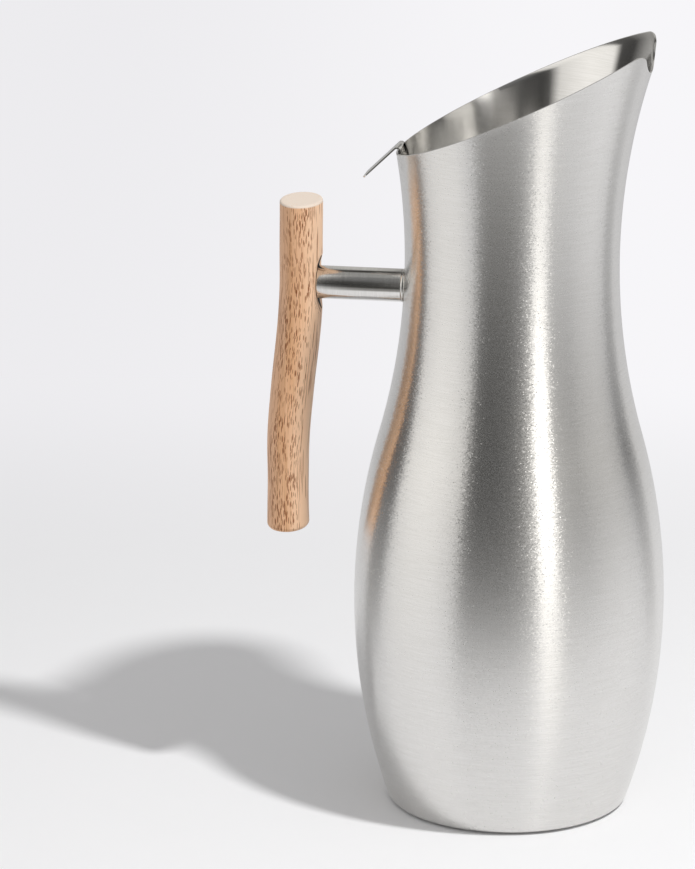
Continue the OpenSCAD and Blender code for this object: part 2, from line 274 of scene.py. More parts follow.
@dataclass(frozen=True)
class Finish:
    """A material with a name; each kind fills its graph."""

    name: str

    def material(self) -> bpy.types.Material:
        """Makes the material.

        Returns:
            A new material with its nodes in place.
        """
        made = bpy.data.materials.new(self.name)
        made.use_nodes = True
        graph = Graph(made.node_tree)
        shader = graph.node("ShaderNodeBsdfPrincipled", links=self.sockets(graph))
        graph.node("ShaderNodeOutputMaterial", links={"Surface": shader})
        return made

    def sockets(self, graph: Graph) -> Sockets:
        """Values and wires of the shader's inputs."""
        raise NotImplementedError


@dataclass(frozen=True)
class BrushedSteel(Finish):
    """Stainless sheet brushed round the pitcher's axis: reflections are drawn out upright."""

    colour: Colour = (0.81, 0.80, 0.785)
    shade: Colour = (0.76, 0.75, 0.73)
    contrast: Point = (0.3, 0.7)
    roughness: float = 0.25
    sparkle: float = 0.05
    inside: float = 0.15
    turnover: float = 1 * MM
    stretch: float = 1.0
    upright: float = 0.25
    streak: Triple = (12 * MM, 12 * MM, 0.36 * MM)
    grain: Triple = (0.42 * MM, 0.42 * MM, 0.3 * MM)
    tilt: float = 0.022
    flake: float = 0.032

    def sockets(self, graph: Graph) -> Sockets:
        """Long streaks in the colour, and grains that are turned a little aside."""
        place = graph.place()
        facing = graph.facing()
        streaks = graph.noise(place, self.streak, rough=0.6)
        _, first, second, third = graph.cells(place, self.grain)
        level = graph.vector(Maths.MULTIPLY, place, (1.0, 1.0, 0.0))
        outside = graph.dot(facing, level).ramp(-self.turnover, self.turnover)
        lean = first + second + third - 3 * MEAN
        turned = lean * (lean * lean * self.flake + self.tilt) * outside
        aside = graph.vector(Maths.CROSS, (0.0, 0.0, 1.0), facing)
        tilted = graph.vector(Maths.ADD, facing, graph.vector(Maths.MULTIPLY, aside, turned))
        rougher = self.roughness - self.inside + (first - MEAN) * self.sparkle
        return {
            "Base Color": graph.mix(streaks.ramp(*self.contrast), self.shade, self.colour),
            "Metallic": 1.0,
            "Roughness": self.inside + outside * rougher,
            "Anisotropic": self.stretch,
            "Anisotropic Rotation": self.upright,
            "Normal": graph.vector(Maths.UNIT, tilted),
        }


@dataclass(frozen=True)
class SatinSteel(Finish):
    """Sheet or turned steel with fine lines along one axis and small smudges in the polish."""

    colour: Colour = (0.74, 0.73, 0.71)
    roughness: float = 0.24
    spread: float = 0.12
    line: Triple = (12 * MM, 0.3 * MM, 12 * MM)
    smudge: float = 6 * MM
    depth: float = 0.004 * MM
    stretch: float = 0.0
    shade: float = 0.88
    contrast: Point = (0.3, 0.7)

    def sockets(self, graph: Graph) -> Sockets:
        """Fine lines in the surface and colour, smudges in the polish."""
        place = graph.place()
        lines = graph.noise(place, self.line, rough=0.6)
        smudges = graph.noise(place, self.smudge, 3.0)
        dark = tuple(self.shade * value for value in self.colour)
        return {
            "Base Color": graph.mix(lines.ramp(*self.contrast), dark, self.colour),
            "Metallic": 1.0,
            "Roughness": self.roughness + (smudges - MEAN) * self.spread,
            "Anisotropic": self.stretch,
            "Normal": graph.bump(lines, self.depth),
        }


@dataclass(frozen=True)
class OiledWood(Finish):
    """Light tan wood with open pores along the bar, and pale end grain; the side facing the pitcher is
    painted paler for bounce light from the steel, and the far side rosier for painted sheen.
    """

    top: float = 0.236
    bottom: float = 0.1046
    tan: Colour = (0.80, 0.45, 0.24)
    pink: Colour = (0.86, 0.52, 0.31)
    gold: Colour = (0.64, 0.345, 0.165)
    pore: Colour = (0.24, 0.075, 0.02)
    cream: Colour = (0.80, 0.69, 0.59)
    # The next two colours are painted light: a paler one for bounce light from the steel on the side facing
    # the pitcher, a rosier one for sheen on the far side.
    pale: Colour = (0.95, 0.65, 0.44)
    painted_sheen: Colour = (0.88, 0.54, 0.34)
    figure: Triple = (4 * MM, 9 * MM, 60 * MM)
    figure_step: Point = (0.36, 0.64)
    fibre: Triple = (0.5 * MM, 2 * MM, 20 * MM)
    fibre_step: Step = (0.45, 0.7, 0.0, 0.6)
    painted_bounce_step: Step = (0.2, 0.85, 0.0, 0.9)
    painted_sheen_step: Step = (-0.9, -0.3, 0.85, 0.0)
    girth: float = 8.4 * MM
    front_step: Point = (0.05, 0.75)
    mark_core: float = 0.75
    fleck: Triple = (0.44 * MM, MM, 2.9 * MM)
    fleck_share: float = 0.55
    fleck_width: float = 0.55
    line: Triple = (0.42 * MM, MM, 14 * MM)
    line_share: float = 0.48
    line_width: float = 0.5
    line_depth: Point = (0.65, 0.3)
    pore_step: Step = (0.0, 1.0, 0.0, 0.95)
    drift: float = 9 * MM
    drift_step: Step = (0.3, 0.62, 0.5, 1.0)
    dot: float = 0.5 * MM
    dot_step: Step = (0.58, 0.72, 0.0, 0.35)
    end_step: Point = (0.15 * MM, 0.7 * MM)
    roughness: float = 0.5
    spread: float = 0.2
    specular: float = 0.25
    relief: float = 0.35
    depth: float = 0.08 * MM

    def _pores(self, graph: Graph, place: Wire, cell: Triple, share: float, width: float) -> Wire:
        """Long thin marks in some of the cells of a stretched pattern.

        Args:
            graph: where the nodes go.
            place: place on the bar.
            cell: size of a cell along each axis.
            share: share of the cells that hold a mark.
            width: how far a mark reaches, in cells.

        Returns:
            1 in a mark, 0 outside it.
        """
        near, chance, *_ = graph.cells(place, cell)
        return near.ramp(self.mark_core * width, width, 1.0, 0.0) * (chance > 1 - share)

    def sockets(self, graph: Graph) -> Sockets:
        """Figure, pores and end grain, with painted bounce light and painted sheen on the two sides."""
        place = graph.place()
        height = graph.parts(place)[2]
        right, ahead, _ = graph.parts(graph.facing())
        figure = graph.noise(place, self.figure, 4.0)
        fibre = graph.noise(place, self.fibre)
        drift = graph.noise(place, self.drift, 1.0)
        dots = graph.noise(place, self.dot, 1.0)
        wood = graph.mix(figure.ramp(*self.figure_step), self.tan, self.pink)
        wood = graph.mix(fibre.ramp(*self.fibre_step), wood, self.gold)
        # Painted light: paler on the side facing the pitcher for bounce light from the steel, rosier on the
        # far side for sheen.
        wood = graph.mix(right.ramp(*self.painted_bounce_step), wood, self.pale)
        wood = graph.mix(right.ramp(*self.painted_sheen_step), wood, self.painted_sheen)
        front = (ahead * ahead).ramp(*self.front_step)
        round_bar = right.turned_to(ahead * -1.0) * self.girth
        unrolled = graph.node("ShaderNodeCombineXYZ", links={0: round_bar, 2: height})
        flecks = self._pores(graph, unrolled, self.fleck, self.fleck_share, self.fleck_width)
        lines = self._pores(graph, unrolled, self.line, self.line_share, self.line_width)
        deep, less = self.line_depth
        pores = flecks * drift.ramp(*self.drift_step) * front + lines * (deep - less * front)
        wood = graph.mix(pores.ramp(*self.pore_step), wood, self.pore)
        cut = graph.mix(dots.ramp(*self.dot_step), self.cream, self.tan)
        near, far = self.end_step
        upper = height.ramp(self.top - far, self.top - near)
        lower = height.ramp(self.bottom + near, self.bottom + far, 1.0, 0.0)
        return {
            "Base Color": graph.mix(upper + lower, wood, cut),
            "Roughness": self.roughness + (fibre - MEAN) * self.spread,
            "Specular IOR Level": self.specular,
            "Normal": graph.bump(fibre * self.relief - pores, self.depth),
        }


@dataclass(frozen=True)
class Rubber(Finish):
    """Matte black rubber with a fine moulded texture."""

    colour: Colour = (0.018, 0.018, 0.018)
    worn: Colour = (0.045, 0.044, 0.043)
    worn_step: Point = (0.4, 0.7)
    grain: float = 0.5 * MM
    dust: float = 6 * MM
    roughness: float = 0.62
    spread: float = 0.25
    depth: float = 0.03 * MM

    def sockets(self, graph: Graph) -> Sockets:
        """Grain in the colour and the surface."""
        place = graph.place()
        grain = graph.noise(place, self.grain, 3.0)
        dust = graph.noise(place, self.dust, 3.0)
        return {
            "Base Color": graph.mix(dust.ramp(*self.worn_step), self.colour, self.worn),
            "Roughness": self.roughness + (grain - MEAN) * self.spread,
            "Normal": graph.bump(grain, self.depth),
        }


# Modelling by operators


def deselect() -> None:
    """Leaves edit mode and deselects every object."""
    if bpy.context.object and bpy.context.object.mode != "OBJECT":
        bpy.ops.object.mode_set(mode="OBJECT")
    bpy.ops.object.select_all(action="DESELECT")


def make_active(piece: Piece) -> None:
    """Selects one object alone and makes it the active one."""
    deselect()
    piece.select_set(True)
    bpy.context.view_layer.objects.active = piece


@contextmanager
def editing(piece: Piece, pick: Pick = Pick.POINTS) -> Iterator[None]:
    """Edit mode on one piece, with all of it selected.

    Args:
        piece: the piece to edit.
        pick: what selections hold.
    """
    make_active(piece)
    bpy.ops.object.mode_set(mode="EDIT")
    bpy.ops.mesh.select_mode(type=pick.value)
    bpy.ops.mesh.select_all(action="SELECT")
    yield
    bpy.ops.object.mode_set(mode="OBJECT")


def choose(piece: Piece, pick: Pick, test: Callable[[object], bool]) -> None:
    """Selects points, edges or faces in edit mode by a test.

    Args:
        piece: the piece in edit mode.
        pick: what is tested.
        test: says whether an item is selected.
    """
    bpy.ops.mesh.select_mode(type=pick.value)
    bpy.ops.mesh.select_all(action="DESELECT")
    mesh = bmesh.from_edit_mesh(piece.data)
    for item in {Pick.POINTS: mesh.verts, Pick.EDGES: mesh.edges, Pick.FACES: mesh.faces}[pick]:
        if test(item):
            item.select_set(True)
    bmesh.update_edit_mesh(piece.data)


def primitive(name: str, add: Callable[..., object], **settings: object) -> Piece:
    """Adds a primitive to start a piece from, with its place applied to its mesh.

    Args:
        name: name of the piece.
        add: the operator that adds it.
        settings: the operator's values.

    Returns:
        The new piece.
    """
    deselect()
    add(**settings)
    piece = bpy.context.object
    piece.name = name
    piece.data.name = name
    bpy.ops.object.transform_apply(location=True, rotation=True, scale=True)
    return piece


def modify(piece: Piece, kind: str, **settings: object) -> None:
    """Adds a modifier and applies it.

    Args:
        piece: the piece to change.
        kind: the modifier's type.
        settings: its properties.
    """
    modifier = piece.modifiers.new(kind.lower(), kind)
    for name, value in settings.items():
        setattr(modifier, name, value)
    make_active(piece)
    bpy.ops.object.modifier_apply(modifier=modifier.name)


def bevel(piece: Piece, width: float, segments: int, angle: float = 50.0) -> None:
    """Bevels the edges that turn by more than an angle in degrees."""
    modify(piece, "BEVEL", width=width, segments=segments, limit_method="ANGLE",
           angle_limit=math.radians(angle))


def rod(radius: float, depth: float, place: Vector | Triple, turned: Triple, sides: int) -> Piece:
    """A rod to cut with."""
    return primitive("cutter", bpy.ops.mesh.primitive_cylinder_add, vertices=sides, radius=radius,
                     depth=depth, location=place, rotation=turned)


def cut_out(piece: Piece, cutter: Piece) -> None:
    """Cuts one piece out of another and removes it."""
    modify(piece, "BOOLEAN", operation="DIFFERENCE", object=cutter, solver="EXACT")
    bpy.data.objects.remove(cutter)


def tidy_normals(piece: Piece, merge: float = 0.002 * MM) -> None:
    """Merges doubles and turns the faces outwards."""
    with editing(piece):
        bpy.ops.mesh.remove_doubles(threshold=merge)
        bpy.ops.mesh.normals_make_consistent(inside=False)


def smooth(piece: Piece, angle: float = 40.0) -> None:
    """Smooth shading, with creases above an angle in degrees."""
    make_active(piece)
    bpy.ops.object.shade_smooth_by_angle(angle=math.radians(angle))


def reshape(piece: Piece, move: Callable[[Vector], Vector]) -> None:
    """Puts each point of a mesh where a function says."""
    for point in piece.data.vertices:
        point.co = move(point.co)
    piece.data.update()


def chain(name: str, points: list[Point], closed: bool = False) -> Piece:
    """A line of edges in the XZ plane, drawn by extruding one point.

    Args:
        name: name of the piece.
        points: its points, as X and Z.
        closed: whether the last point is joined to the first.

    Returns:
        The new piece.
    """
    places = [Vector((x, 0, z)) for x, z in points]
    piece = primitive(name, bpy.ops.mesh.primitive_plane_add, size=MM, location=places[0])
    with editing(piece):
        bpy.ops.mesh.merge(type="CENTER")
        for before, after in zip(places, places[1:]):
            bpy.ops.mesh.extrude_vertices_move(TRANSFORM_OT_translate={"value": after - before})
        if closed:
            ends = (places[0], places[-1])
            choose(piece, Pick.POINTS, lambda v: any((v.co - end).length < NEAR for end in ends))
            bpy.ops.mesh.edge_face_add()
    return piece


def turn(name: str, points: list[Point], steps: int, closed: bool = False) -> Piece:
    """A piece turned about Z from a line in the XZ plane.

    Args:
        name: name of the piece.
        points: the line's points, as radius and height.
        steps: points round the piece.
        closed: whether the line is closed.

    Returns:
        The new piece.
    """
    piece = chain(name, points, closed)
    with editing(piece):
        bpy.ops.mesh.spin(steps=steps, angle=math.tau, center=(0, 0, 0), axis=(0, 0, 1))
    tidy_normals(piece)
    return piece


def arc(centre: Point, radius: float, start: float, end: float, steps: int, first: int = 0) -> list[Point]:
    """Points of an arc.

    Args:
        centre: its centre.
        radius: its radius.
        start: first angle, in radians.
        end: last angle.
        steps: steps between them.
        first: first step that is given.

    Returns:
        The points, in order.
    """
    turns = [start + (end - start) * i / steps for i in range(first, steps + 1)]
    return [(centre[0] + radius * math.cos(a), centre[1] + radius * math.sin(a)) for a in turns]


def settle(piece: Piece, finish: Finish, body: Body, slot: str, *nodes: str) -> None:
    """Gives a piece its finish and its body, and hides the nodes that it stands for."""
    piece.data.materials.clear()
    piece.data.materials.append(finish.material())
    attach(piece, body.value)
    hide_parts(*nodes)
    LOG.info("%s: %d faces on %s", piece.name, len(piece.data.polygons), body.value)


# The body


@dataclass
class Vessel:
    """The drawn steel body: belly, waist and flared neck, cut by a slanted mouth with a scooped lip."""

    belly_r: float = 60 * MM
    belly_z: float = 80.5 * MM
    waist_r: float = 40.85 * MM
    waist_z: float = 216.7 * MM
    waist_arc: float = 251.9 * MM
    wall: float = 0.8 * MM
    slope: float = math.tan(math.radians(25))
    mouth_z: float = 278.2 * MM
    lip_half: float = math.radians(31)
    scoop_depth: float = 13.6 * MM
    scoop_corner: float = 12 * MM
    foot_lift: float = 0.8 * MM
    base_corner: float = 2 * MM
    hem_w: float = 4 * MM
    rim_round: float = 0.16 * MM
    columns: int = 360
    lip_crowding: float = 0.5
    outer_steps: tuple[int, int, int] = (40, 16, 36)
    inner_steps: tuple[int, int, int] = (26, 12, 30)
    corner_steps: int = 6
    halvings: int = 40
    finish: Finish = field(default_factory=lambda: BrushedSteel("brushed_body"))

    def __post_init__(self) -> None:
        """Works out the arcs of the side and the outline of the scoop."""
        draw_in = self.belly_r - self.waist_r
        shoulder = self.waist_z - self.belly_z
        self.belly_arc = (draw_in ** 2 + shoulder ** 2) / (2 * draw_in) - self.waist_arc
        self.join = math.asin(shoulder / (self.belly_arc + self.waist_arc))
        self.belly_c = (self.belly_r - self.belly_arc, self.belly_z)
        self.waist_c = (self.waist_r + self.waist_arc, self.waist_z)
        corner_z = self.foot_lift + self.base_corner
        reach = self.belly_arc - self.base_corner
        self.corner_c = (self.belly_c[0] + math.sqrt(reach ** 2 - (corner_z - self.belly_z) ** 2), corner_z)
        self.corner_turn = math.atan2(corner_z - self.belly_z, self.corner_c[0] - self.belly_c[0])
        self.tip_z = self.mouth_z + self.slope * self.plane_r(0, self.mouth_z, self.slope)
        ahead = math.cos(self.lip_half)
        lip_r = self.plane_r(0, self.mouth_z, self.slope * ahead)
        self.lip = (lip_r * math.sin(self.lip_half), self.mouth_z + self.slope * lip_r * ahead)
        flare = (self.lip[1] - self.waist_z) / (self.waist_c[0] - lip_r)
        fall = math.atan2(self.slope * self.lip[0], lip_r * ahead - self.slope * lip_r * flare)
        self.round_c = (self.lip[0] - self.scoop_corner * math.sin(fall),
                        self.lip[1] - self.scoop_corner * math.cos(fall))
        low = self.tip_z - self.scoop_depth
        rise = self.round_c[1] - low
        across = self.round_c[0] ** 2 + rise ** 2 - self.scoop_corner ** 2
        self.scoop_r = across / (2 * (self.scoop_corner + rise))
        self.scoop_z = low + self.scoop_r

    def plane_r(self, inset: float, z: float, rate: float) -> float:
        """Radius at which the neck meets a plane.

        Args:
            inset: how far the neck's surface is set in.
            z: height of the plane on the axis.
            rate: its rise along the radius.

        Returns:
            The radius.
        """
        h = z - self.waist_z
        b = self.waist_c[0] - rate * h
        c = self.waist_c[0] ** 2 + h ** 2 - (self.waist_arc + inset) ** 2
        return (b - math.sqrt(b ** 2 - (1 + rate ** 2) * c)) / (1 + rate ** 2)

    def side_r(self, z: float, inset: float = 0.0) -> float:
        """Radius of the neck at a height."""
        return self.waist_c[0] - math.sqrt((self.waist_arc + inset) ** 2 - (z - self.waist_z) ** 2)

    def _scoop_height(self, y: float) -> float:
        """Height of the scoop's edge at a distance from the middle of the lip."""
        y = abs(y)
        meet = self.round_c[0] * self.scoop_r / (self.scoop_r + self.scoop_corner)
        if y <= meet:
            return self.scoop_z - math.sqrt(self.scoop_r ** 2 - y ** 2)
        if y >= self.lip[0]:
            return math.inf
        return self.round_c[1] + math.sqrt(self.scoop_corner ** 2 - (y - self.round_c[0]) ** 2)

    def rim_z(self, turned: float, inset: float) -> float:
        """Height of the rim.

        Args:
            turned: angle round the axis from the lip.
            inset: how far the surface is set in.

        Returns:
            The lower of the mouth's plane and the scoop.
        """
        rate = self.slope * math.cos(turned)
        radius = self.plane_r(inset, self.mouth_z, rate)
        height = self.mouth_z + rate * radius
        if math.cos(turned) < 0 or abs(radius * math.sin(turned)) > self.lip[0]:
            return height
        low, high = self.waist_z, height
        for _ in range(self.halvings):
            middle = (low + high) / 2
            edge = self._scoop_height(self.side_r(middle, inset) * math.sin(turned))
            low, high = (middle, high) if middle < edge else (low, middle)
        return low

    def _side(self, inset: float, belly: int, waist: int, neck: int) -> list[Point]:
        """The side from the hem to the lip's height, set in by a distance."""
        top = math.asin((self.tip_z - self.waist_z) / (self.waist_arc + inset))
        turned = math.pi + self.join
        return [
            *arc(self.corner_c, self.base_corner - inset, -math.pi / 2, self.corner_turn, self.corner_steps),
            *arc(self.belly_c, self.belly_arc - inset, self.corner_turn, self.join, belly, 1),
            *arc(self.waist_c, self.waist_arc + inset, turned, math.pi, waist, 1),
            *arc(self.waist_c, self.waist_arc + inset, math.pi, math.pi - top, neck, 1),
        ]

    def _slide(self, point: Vector) -> Vector:
        """Crowds a column towards the lip and slides it down the side until its top lies on the rim."""
        turned = math.atan2(point.y, point.x)
        turned -= self.lip_crowding * math.sin(turned)
        radius = math.hypot(point.x, point.y)
        z = point.z
        if z > self.waist_z:
            inset = math.dist((radius, z), self.waist_c) - self.waist_arc
            share = (z - self.waist_z) / (self.tip_z - self.waist_z)
            z = self.waist_z + share * (self.rim_z(turned, inset) - self.waist_z)
            radius = self.side_r(z, inset)
        return Vector((radius * math.cos(turned), radius * math.sin(turned), z))

    def build(self) -> None:
        """Turns the wall from its profile and cuts the mouth."""
        outer = self._side(0, *self.outer_steps)
        inner = self._side(self.wall, *self.inner_steps)
        (out_r, out_z), (in_r, in_z) = outer.pop(), inner.pop()
        rim = [(out_r, out_z - self.rim_round), (out_r - self.rim_round, out_z),
               (in_r + self.rim_round, in_z), (in_r, in_z - self.rim_round)]
        hem_r = self.corner_c[0] - self.hem_w
        hem = [(hem_r, self.foot_lift + self.wall), (hem_r, self.foot_lift)]
        shell = turn("pitcher_shell", [*hem, *outer, *rim, *reversed(inner)], self.columns, closed=True)
        reshape(shell, self._slide)
        smooth(shell)
        settle(shell, self.finish, Body.PITCHER, "brushed_body", "body_shell")


# The handle


@dataclass
class Handle:
    """The wooden bar on its steel post: boss, tube, gasket and grip."""

    vessel: Vessel
    grip_t: float = 16.3 * MM
    grip_w: float = 23 * MM
    grip_x: float = -81.4 * MM
    head: float = 30 * MM
    bend_r: float = 200 * MM
    bend: float = math.radians(6)
    middle: float = 31 * MM
    tail: float = 27.6 * MM
    top_edge: float = 0.8 * MM
    top_lift: float = 0.55 * MM
    top_tilt: float = 0.022
    top_fade: float = 6 * MM
    bottom_edge: float = 1.8 * MM
    edge_steps: int = 5
    end_rings: int = 3
    ring_step: float = 1.6 * MM
    swells: tuple[Triple, Triple] = ((0.023, 0.41, 0.19), (-0.036, 0.87, 0.12))
    ripple: Triple = (0.005, 17, 2)
    twist: Triple = (0.004, 31, 3)
    sides: int = 128
    notch_h: float = 23 * MM
    seat_depth: float = 1.7 * MM
    insert_r: float = 4.3 * MM
    insert_far: float = -84.65 * MM
    tube_bevel: float = 0.15 * MM
    tube_wall: float = 1 * MM
    gasket_in: float = 0.5 * MM
    gasket_t: float = 0.25 * MM
    gasket_h: float = 20.8 * MM
    gasket_w: float = 4.6 * MM
    gasket_rings: int = 5
    bead: float = 0.18 * MM
    bead_steps: int = 6
    weld_gap: float = 0.05 * MM

    def __post_init__(self) -> None:
        """Takes the post's place from the frame and works out the bar's length."""
        tube_low, tube_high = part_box("handle_tube")
        self.tube_r = (tube_high.y - tube_low.y) / 2
        self.tube_z = (tube_high.z + tube_low.z) / 2
        self.tube_near = tube_high.x
        self.tube_far = tube_low.x
        self.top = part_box("handle_grip")[1].z
        self.gasket_r = self.tube_r - self.gasket_in
        half = self.notch_h / 2
        seat_half = self.tube_r + self.gasket_in / 2
        face = self.grip_x + self.grip_t / 2
        off = (half ** 2 - seat_half ** 2 - self.seat_depth ** 2) / (2 * self.seat_depth)
        self.seat_x = face - self.seat_depth
        self.notch_x = face + off
        self.notch_r = math.hypot(half, off)
        self.bend_length = self.bend_r * self.bend
        self.length = self.head + 2 * self.bend_length + self.middle + self.tail

    def centre(self, along: float) -> tuple[Point, float]:
        """Middle of the bar.

        Args:
            along: distance along the bar from its top end.

        Returns:
            X and Z of the middle, and the bar's lean in radians.
        """
        x, z, lean = self.grip_x, self.top, 0.0
        bend = self.bend_length
        for length, way in ((self.head, 0), (bend, 1), (self.middle, 0), (bend, -1), (self.tail, 0)):
            step = min(along, length)
            along -= step
            after = lean + way * step / self.bend_r
            if way:
                x -= way * self.bend_r * (math.cos(lean) - math.cos(after))
                z -= way * self.bend_r * (math.sin(after) - math.sin(lean))
            else:
                x -= step * math.sin(lean)
                z -= step * math.cos(lean)
            lean = after
        return (x, z), lean

    def swell(self, along: float, turned: float) -> float:
        """How much the hand-shaped bar is thicker than its plain section.

        Args:
            along: distance along the bar from its top end.
            turned: angle round the bar from the side that faces the pitcher.

        Returns:
            The ratio of the two.
        """
        share = along / self.length
        waves = sum(size * math.exp(-((share - place) / width) ** 2) for size, place, width in self.swells)
        size, pace, sway = self.ripple
        waves += size * math.sin(pace * share + sway * math.cos(turned))
        size, pace, sway = self.twist
        return 1 + waves + size * math.sin(pace * share + sway * turned)

    def _bend_bar(self, point: Vector) -> Vector:
        """Puts a point of the straight round bar where the bent oval one has it."""
        along = min(max(self.top - point.z, 0), self.length)
        turned = math.atan2(point.y, point.x)
        reach = math.hypot(point.x, point.y) * self.swell(along, turned)
        (x, z), lean = self.centre(along)
        off = reach * math.cos(turned)
        across = reach * math.sin(turned) * self.grip_w / self.grip_t
        lift = (self.top_lift + self.top_tilt * across) * math.exp(-along / self.top_fade)
        return Vector((x + off * math.cos(lean), across, z - off * math.sin(lean) + lift))

    def _cut(self, grip: Piece) -> None:
        """Cuts the notch with its flat seat for the tube's end, and the hole for the insert."""
        sides = 2 * self.sides
        notch = rod(self.notch_r, 2 * self.grip_w, (self.notch_x, 0, self.tube_z), (math.pi / 2, 0, 0), sides)
        with editing(notch, Pick.FACES):
            bpy.ops.mesh.bisect(plane_co=(self.seat_x, 0, 0), plane_no=(-1, 0, 0), clear_outer=True,
                                use_fill=True)
        middle = ((self.tube_far + self.insert_far) / 2, 0, self.tube_z)
        hole = rod(self.insert_r, self.tube_far - self.insert_far, middle, (0, math.pi / 2, 0), sides)
        for cutter in (notch, hole):
            cut_out(grip, cutter)

    def _grip(self) -> None:
        """The bar: a disc drawn out, its ends rounded, then bent and hand-shaped."""
        grip = primitive("wooden_grip", bpy.ops.mesh.primitive_circle_add, vertices=self.sides,
                         radius=self.grip_t / 2, fill_type="NGON", location=(0, 0, self.top))
        rings = round(self.length / self.ring_step)
        step = -self.length / rings
        with editing(grip, Pick.FACES):
            for _ in range(rings):
                bpy.ops.mesh.extrude_region_move(TRANSFORM_OT_translate={"value": (0, 0, step)})
            for height, edge in ((self.top, self.top_edge), (self.top - self.length, self.bottom_edge)):
                choose(grip, Pick.EDGES, lambda e: all(abs(v.co.z - height) < NEAR for v in e.verts))
                bpy.ops.mesh.bevel(offset=edge, segments=self.edge_steps, affect="EDGES")
            choose(grip, Pick.FACES, lambda f: len(f.verts) > 4)
            for _ in range(self.end_rings):
                bpy.ops.mesh.inset(thickness=self.grip_t / (4 * self.end_rings))
        tidy_normals(grip)
        reshape(grip, self._bend_bar)
        self._cut(grip)
        smooth(grip)
        finish = OiledWood("oiled_wood", top=self.top, bottom=self.centre(self.length)[0][1])
        settle(grip, finish, Body.PITCHER, "grip_wood", "handle_grip")

    def _lay(self, piece: Piece) -> None:
        """Lays a piece that was turned about Z along the post: its height becomes the way out."""
        reshape(piece, lambda p: Vector((-p.z, p.y, self.tube_z + p.x)))
        tidy_normals(piece)

    def _tube(self) -> None:
        """The post's tube, with its ends bevelled."""
        bore = self.tube_r - self.tube_wall
        line = [(self.tube_r, -self.tube_near), (self.tube_r, -self.tube_far), (bore, -self.tube_far),
                (bore, -self.tube_near)]
        tube = turn("post_tube", line, self.sides, closed=True)
        bevel(tube, self.tube_bevel, 3, 40)
        self._lay(tube)
        smooth(tube, 35)
        finish = SatinSteel("polished_post", (0.80, 0.79, 0.77), 0.12, spread=0.04, depth=0.012 * MM,
                            line=(0.3 * MM, 8 * MM, 8 * MM), stretch=0.9)
        settle(tube, finish, Body.PITCHER, "polished_post", "handle_tube")

    def _boss(self) -> None:
        """The bead where the post meets the neck, shaped to the neck at its inner end."""
        near, far = self.vessel.side_r(self.tube_z), -self.tube_near
        depth = far - near
        line = [(0, far), (self.tube_r - 2 * self.tube_bevel, far)]
        for i in range(self.bead_steps + 1):
            share = i / self.bead_steps
            swollen = self.bead * (2 * math.sin(math.pi * share) - 1)
            line.append((self.tube_r + swollen, far - depth * share))
        boss = turn("post_boss", [*line, (0, near)], self.sides)
        self._lay(boss)

        def fit(point: Vector) -> Vector:
            """Draws the inner end out to the neck."""
            share = min(1.0, max(0.0, (far + point.x) / depth))
            reach = self.vessel.side_r(point.z) + self.weld_gap
            skin = math.sqrt(max(0.0, reach ** 2 - point.y ** 2))
            return Vector((point.x - share * (skin - near), point.y, point.z))

        reshape(boss, fit)
        smooth(boss, 50)
        finish = SatinSteel("polished_boss", roughness=0.12, spread=0.06, line=(2 * MM, 2 * MM, 0.4 * MM))
        settle(boss, finish, Body.PITCHER, "polished_post", "handle_boss")

    def _gasket(self) -> None:
        """The rubber ring in the notch under the tube's end, with a pointed tail up and down the bar."""
        gasket = primitive("grip_gasket_sheet", bpy.ops.mesh.primitive_circle_add, vertices=2 * self.sides,
                           radius=self.insert_r, fill_type="NOTHING")
        rings = self.gasket_rings
        with editing(gasket, Pick.EDGES):
            for i in range(rings, 2 * rings):
                grow = (i + 1) / i
                bpy.ops.mesh.extrude_edges_move(TRANSFORM_OT_translate={"value": (0, 0, 0)})
                bpy.ops.transform.resize(value=(grow, grow, 1), center_override=(0, 0, 0))
        half_w, half_h = self.gasket_w / 2, self.gasket_h / 2
        tail_r = (half_w ** 2 + half_h ** 2) / (2 * half_w)
        shift = tail_r - half_w
        clear = self.weld_gap + self.gasket_t / 2

        def drape(point: Vector) -> Vector:
            """Draws the outer edge up and down into tails and lays the sheet in the notch."""
            turned = math.atan2(point.y, point.x)
            share = math.hypot(point.x, point.y) / self.insert_r - 1
            side = abs(math.cos(turned)) * shift
            outer = max(self.gasket_r, math.sqrt(side ** 2 + tail_r ** 2 - shift ** 2) - side)
            reach = self.insert_r + share * (outer - self.insert_r)
            up = reach * math.sin(turned)
            x = max(self.seat_x + clear, self.notch_x - math.sqrt((self.notch_r - clear) ** 2 - up ** 2))
            return Vector((x, reach * math.cos(turned), self.tube_z + up))

        reshape(gasket, drape)
        tidy_normals(gasket)
        modify(gasket, "SOLIDIFY", thickness=self.gasket_t, offset=0)
        smooth(gasket, 35)
        settle(gasket, Rubber("gasket_rubber"), Body.PITCHER, "black_rubber", "grip_gasket")

    def build(self) -> None:
        """Builds the post and the bar."""
        self._grip()
        self._tube()
        self._boss()
        self._gasket()


# The lid


